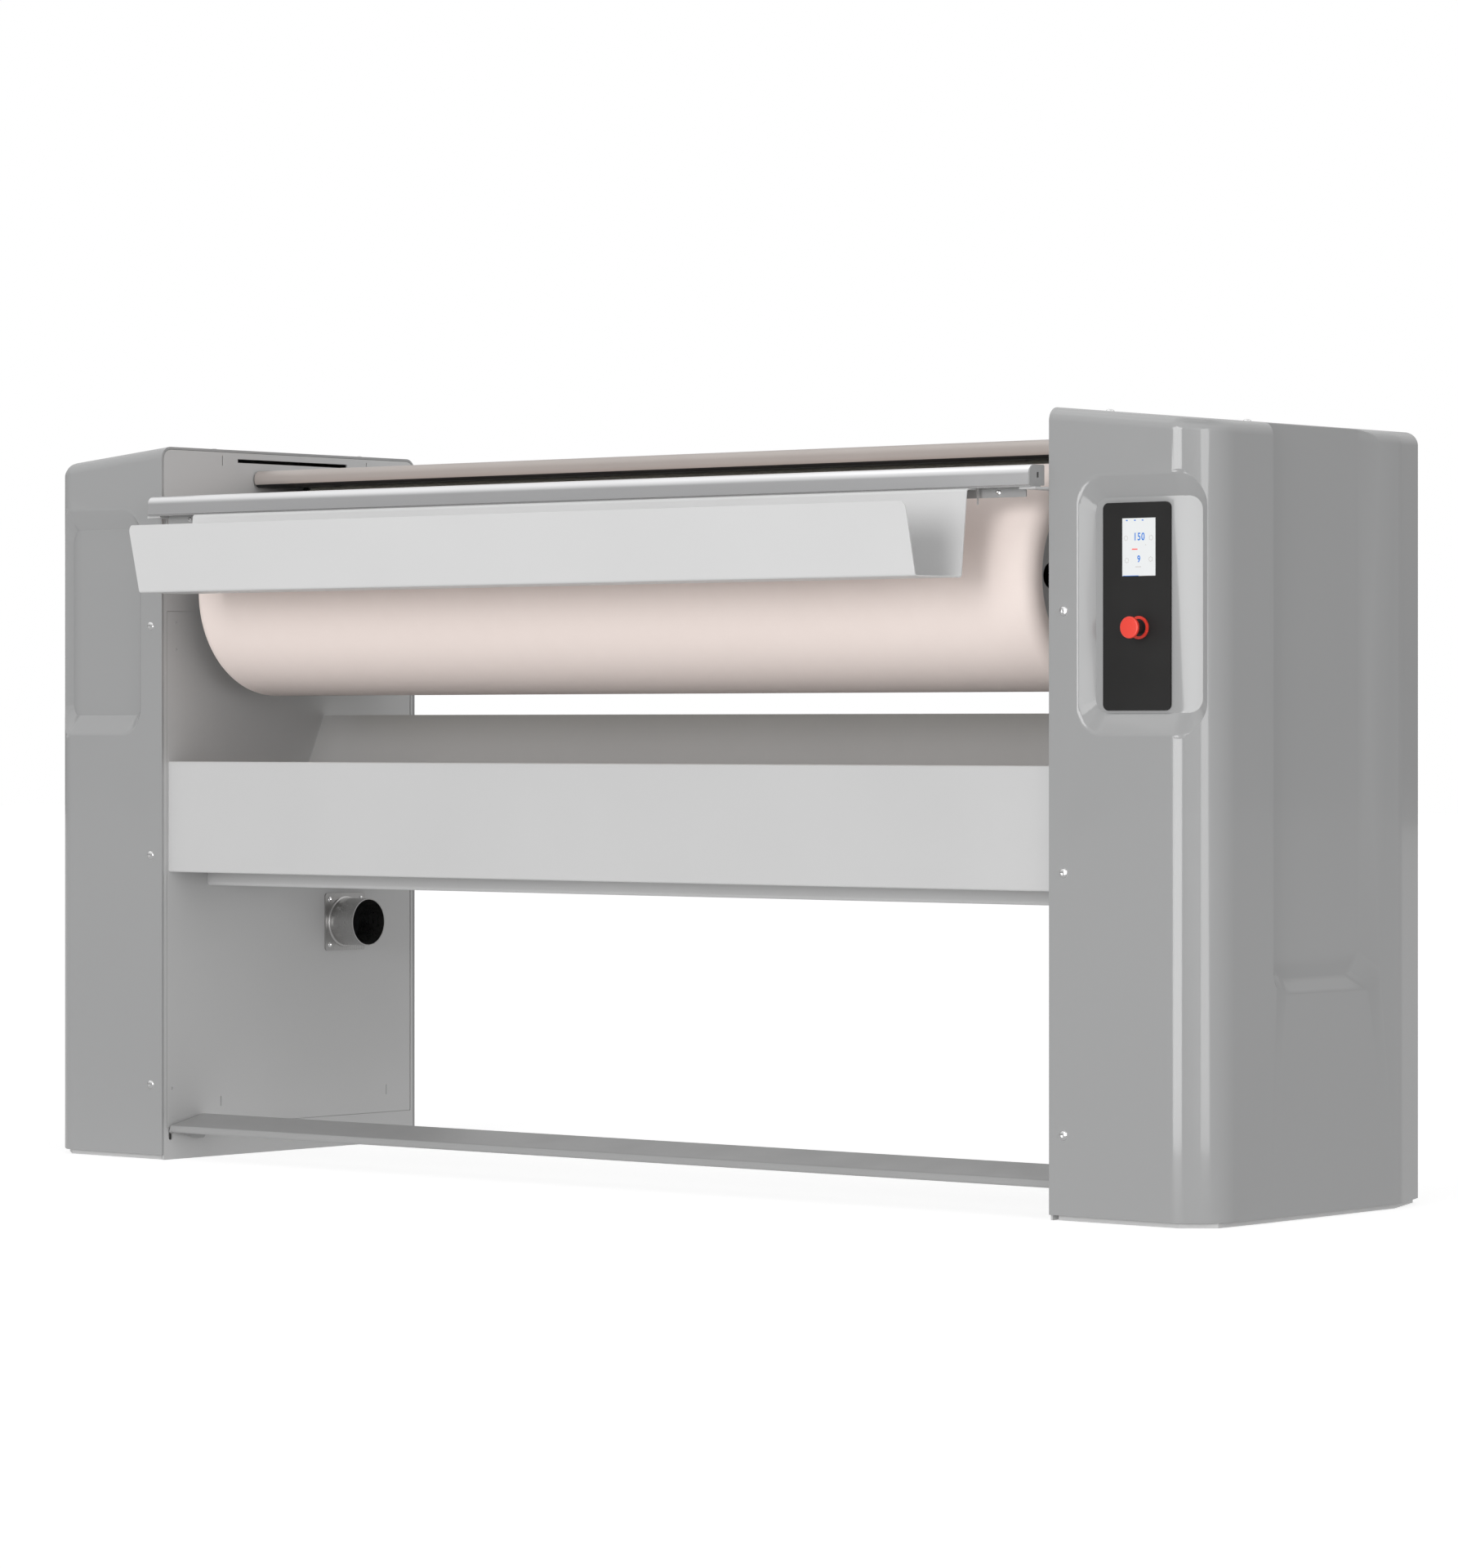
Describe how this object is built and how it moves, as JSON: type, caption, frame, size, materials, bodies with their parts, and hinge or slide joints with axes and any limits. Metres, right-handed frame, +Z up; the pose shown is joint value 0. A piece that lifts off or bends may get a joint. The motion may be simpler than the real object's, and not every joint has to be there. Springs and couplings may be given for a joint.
{
  "type": "flatwork ironer",
  "caption": "Free-standing roller ironer: padded feed roll between two moulded columns, heated chest behind it, feed trough, linen tray, finger guard and foot treadle.",
  "frame": {"origin": "middle of the machine on the floor, half way between its front and back ends", "axes": "+X along the roll to the column with the controls, +Y from the operator to the back, +Z up"},
  "size_m": [2.104, 0.708, 1.0428],
  "materials": {
    "cover_gloss": "smooth glossy moulding",
    "side_paint": "satin powder coat",
    "plinth_paint": "satin powder coat",
    "fascia_paint": "satin powder coat",
    "trough_paint": "satin powder coat",
    "tray_steel": "fine brushed",
    "guard_steel": "polished",
    "rail_aluminium": "satin anodised",
    "black_plastic": "fine grain",
    "cap_plastic": "fine grain",
    "strip_paint": "satin powder coat",
    "black_paint": "matt heat-proof",
    "beam_paint": "satin powder coat",
    "roll_cloth": "woven aramid cloth",
    "roll_steel": "turned",
    "bearing_iron": "as cast",
    "drive_steel": "oiled",
    "motor_paint": "satin",
    "bracket_steel": "milled",
    "chest_metal": "polished",
    "heater_steel": "heat-tinted",
    "insulation_wool": "matt wool",
    "zinc_sheet": "galvanised",
    "spigot_steel": "brushed",
    "screw_chrome": "plated",
    "panel_black": "fine grain",
    "screen_white": "lit display face",
    "belt_rubber": "ribbed, cloth-backed",
    "stop_red": "moulded"
  },
  "bodies": {
    "frame": {"arm_pivot_pins": "drive_steel", "base_plinth_left": "plinth_paint", "base_plinth_right": "plinth_paint", "blower_housing": "zinc_sheet", "blower_motor": "motor_paint", "cabinet_lid": "zinc_sheet", "chest_hood": "tray_steel", "column_cover_left": "cover_gloss", "column_cover_right": "cover_gloss", "control_cabinet": "zinc_sheet", "control_panel": "panel_black", "cover_screws": "screw_chrome", "cross_beam": "beam_paint", "display_housing": "black_plastic", "display_screen": "screen_white", "drive_belt": "belt_rubber", "exhaust_duct": "zinc_sheet", "exhaust_spigot": "spigot_steel", "fascia_panel": "fascia_paint", "feed_rail": "rail_aluminium", "feed_trough": "trough_paint", "gear_motor": "motor_paint", "hood_heat_shield": "black_paint", "linen_tray": "tray_steel", "motor_bracket": "bracket_steel", "mounting_strip": "strip_paint", "press_actuators": "motor_paint", "rail_end_caps": "cap_plastic", "rail_hangers": "side_paint", "rear_panel_left": "side_paint", "rear_panel_right": "side_paint", "roll_bearing_left": "bearing_iron", "roll_bearing_right": "bearing_iron", "service_panel_left": "side_paint", "service_panel_right": "side_paint", "side_frame_left": "side_paint", "side_frame_right": "side_paint", "small_screws": "screw_chrome", "stop_switch_barrel": "black_plastic", "stop_switch_collar": "stop_red"},
    "roll": {"roll_tube": "roll_steel", "roll_padding": "roll_cloth", "roll_end_discs": "strip_paint", "roll_journal_left": "roll_steel", "roll_journal_right": "roll_steel", "roll_pulley": "drive_steel"},
    "motor_drive": {"motor_shaft": "drive_steel", "motor_pulley": "drive_steel"},
    "chest": {"heated_chest": "chest_metal", "heating_rods": "heater_steel", "chest_insulation": "insulation_wool", "chest_end_plates": "bracket_steel", "pressure_arms": "bracket_steel"},
    "press_left": {"press_spindle_left": "drive_steel"},
    "press_right": {"press_spindle_right": "drive_steel"},
    "guard": {"finger_guard": "guard_steel"},
    "treadle": {"foot_treadle": "beam_paint"},
    "stop_stem": {"stop_switch_stem": "black_plastic"},
    "stop_cap": {"stop_switch_cap": "stop_red"},
    "fan": {"blower_impeller": "zinc_sheet"}
  },
  "joints": [
    {"name": "roll_spin", "type": "hinge", "parent": "frame", "child": "roll", "pos_m": [0, -0.018, 0.8275], "axis": [1, 0, 0], "continuous": true},
    {"name": "motor_spin", "type": "hinge", "parent": "frame", "child": "motor_drive", "pos_m": [0.87, -0.018, 0.4846], "axis": [1, 0, 0], "continuous": true},
    {"name": "chest_swing", "type": "hinge", "parent": "frame", "child": "chest", "pos_m": [0, 0.144, 0.45], "axis": [-1, 0, 0], "range_deg": [0, 3.5]},
    {"name": "press_left_slide", "type": "slide", "parent": "frame", "child": "press_left", "axis": [0, 1, 0], "range_m": [0, 0.012]},
    {"name": "press_right_slide", "type": "slide", "parent": "frame", "child": "press_right", "axis": [0, 1, 0], "range_m": [0, 0.012]},
    {"name": "guard_lift", "type": "hinge", "parent": "frame", "child": "guard", "pos_m": [0, 0.04, 0.999], "axis": [-1, 0, 0], "range_deg": [0, 4]},
    {"name": "treadle_press", "type": "hinge", "parent": "frame", "child": "treadle", "pos_m": [0, -0.111, 0.037], "axis": [1, 0, 0], "range_deg": [0, 8], "stiffness_Nm_per_rad": 20, "springref_deg": -6.88},
    {"name": "stop_push", "type": "slide", "parent": "frame", "child": "stop_stem", "axis": [0, 1, 0], "range_m": [0, 0.004]},
    {"name": "stop_twist", "type": "hinge", "parent": "stop_stem", "child": "stop_cap", "pos_m": [0.935, -0.189, 0.757], "axis": [0, 1, 0], "range_deg": [0, 30], "stiffness_Nm_per_rad": 0.05},
    {"name": "fan_spin", "type": "hinge", "parent": "frame", "child": "fan", "pos_m": [-0.927, 0.162, 0.2985], "axis": [0, 1, 0], "continuous": true}
  ],
  "couplings": [
    {"joint": "motor_spin", "follows": "roll_spin", "ratio": 2},
    {"joint": "press_left_slide", "follows": "chest_swing", "m_per_rad": 0.19},
    {"joint": "press_right_slide", "follows": "chest_swing", "m_per_rad": 0.19}
  ]
}
